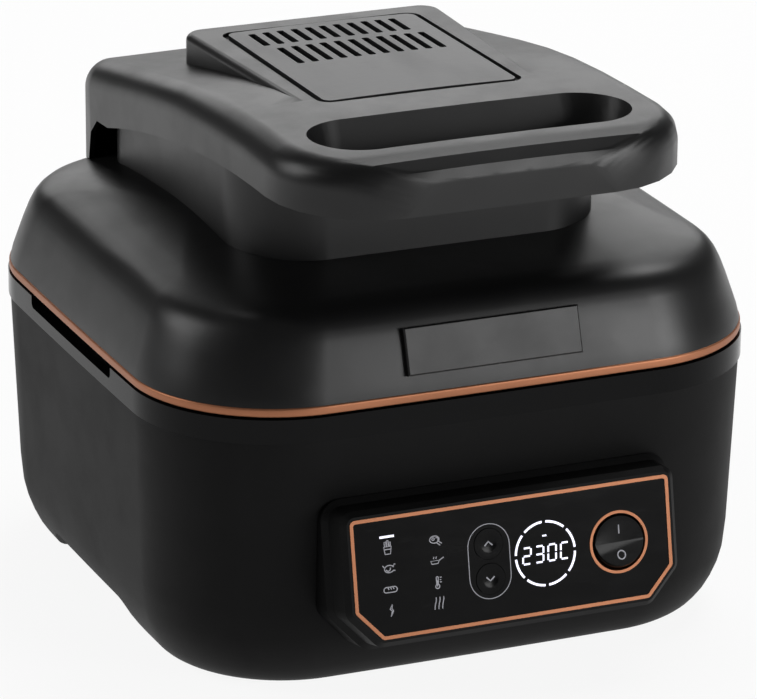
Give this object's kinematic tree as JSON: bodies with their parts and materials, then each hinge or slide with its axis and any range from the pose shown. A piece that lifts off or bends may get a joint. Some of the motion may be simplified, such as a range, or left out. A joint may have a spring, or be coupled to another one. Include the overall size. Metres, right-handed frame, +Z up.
{
  "type": "multicooker",
  "caption": "Countertop air-frying multicooker with a hinged domed lid, raised handle, vent grille, removable pot and a leaning control panel.",
  "frame": {"origin": "middle of the footprint, on the surface the feet stand on", "axes": "+Z up, -Y towards the control panel, +X to the right of someone facing the panel"},
  "size_m": [0.35, 0.3912, 0.2998],
  "materials": {
    "matte_black": "fine matte moulded plastic",
    "satin_black": "satin moulded plastic with soft highlights",
    "gloss_black": "polished moulded plastic",
    "panel_gloss": "smooth glossy panel",
    "rocker_gloss": "glossy moulded plastic",
    "vent_gloss": "glossy dark grey moulded plastic",
    "badge_black": "satin gloss plate",
    "copper": "satin copper-coloured plating",
    "foot_rubber": "matte rubber",
    "silicone": "soft silicone",
    "liner_steel": "brushed sheet",
    "element_steel": "heat-darkened tube",
    "motor_steel": "plain pressed sheet",
    "screw_steel": "zinc plated",
    "cast_aluminium": "cast, machined top",
    "nonstick": "fine-grained non-stick coating",
    "circuit_board": "solder mask",
    "display_white": "lit display"
  },
  "bodies": {
    "base": {"base_shell": "matte_black", "base_plate": "matte_black", "feet": "foot_rubber", "base_screws": "screw_steel", "power_board": "circuit_board", "cord_gland": "matte_black", "rim_band": "gloss_black", "chamber_liner": "liner_steel", "pot": "nonstick", "rack": "nonstick", "heating_plate": "cast_aluminium", "lower_element": "element_steel", "temperature_sensor": "liner_steel", "panel_housing": "satin_black", "panel_outline": "copper", "panel_face": "panel_gloss", "rocker_ring": "copper", "switch_body": "satin_black", "control_board": "circuit_board", "display_module": "display_white", "hinge_bracket": "satin_black", "hinge_pin": "screw_steel"},
    "lid": {"lid_dome": "satin_black", "trim_ring": "copper", "badge_plate": "badge_black", "top_cover": "satin_black", "vent_plate": "vent_gloss", "handle_base": "satin_black", "neck": "satin_black", "lid_liner": "liner_steel", "lid_gasket": "silicone", "grill_element": "element_steel", "fan_guard": "liner_steel", "heat_shield": "liner_steel", "fan_motor": "motor_steel", "motor_bracket": "motor_steel", "bracket_screws": "screw_steel", "hinge_arm_left": "satin_black", "hinge_arm_right": "satin_black"},
    "fan": {"impeller": "liner_steel", "fan_shaft": "screw_steel", "shaft_nut": "screw_steel", "cooling_fan": "matte_black", "motor_rotor": "motor_steel"},
    "rocker": {"power_rocker": "rocker_gloss"},
    "up_key": {"up_button": "panel_gloss"},
    "down_key": {"down_button": "panel_gloss"}
  },
  "joints": [
    {"name": "lid_hinge", "type": "hinge", "parent": "base", "child": "lid", "pos_m": [0, 0.1896, 0.158], "axis": [-1, 0, 0], "range_deg": [0, 95]},
    {"name": "fan_spin", "type": "hinge", "parent": "lid", "child": "fan", "pos_m": [0, 0.0086, 0.1825], "axis": [0, 0, 1], "continuous": true},
    {"name": "power_rock", "type": "hinge", "parent": "base", "child": "rocker", "pos_m": [0.061, -0.18454, 0.07576], "axis": [1, 0, 0], "range_deg": [0, 16]},
    {"name": "up_press", "type": "slide", "parent": "base", "child": "up_key", "axis": [0, 0.9823, -0.1874], "range_m": [0, 0.0008], "stiffness_N_per_m": 400},
    {"name": "down_press", "type": "slide", "parent": "base", "child": "down_key", "axis": [0, 0.9823, -0.1874], "range_m": [0, 0.0008], "stiffness_N_per_m": 400}
  ]
}
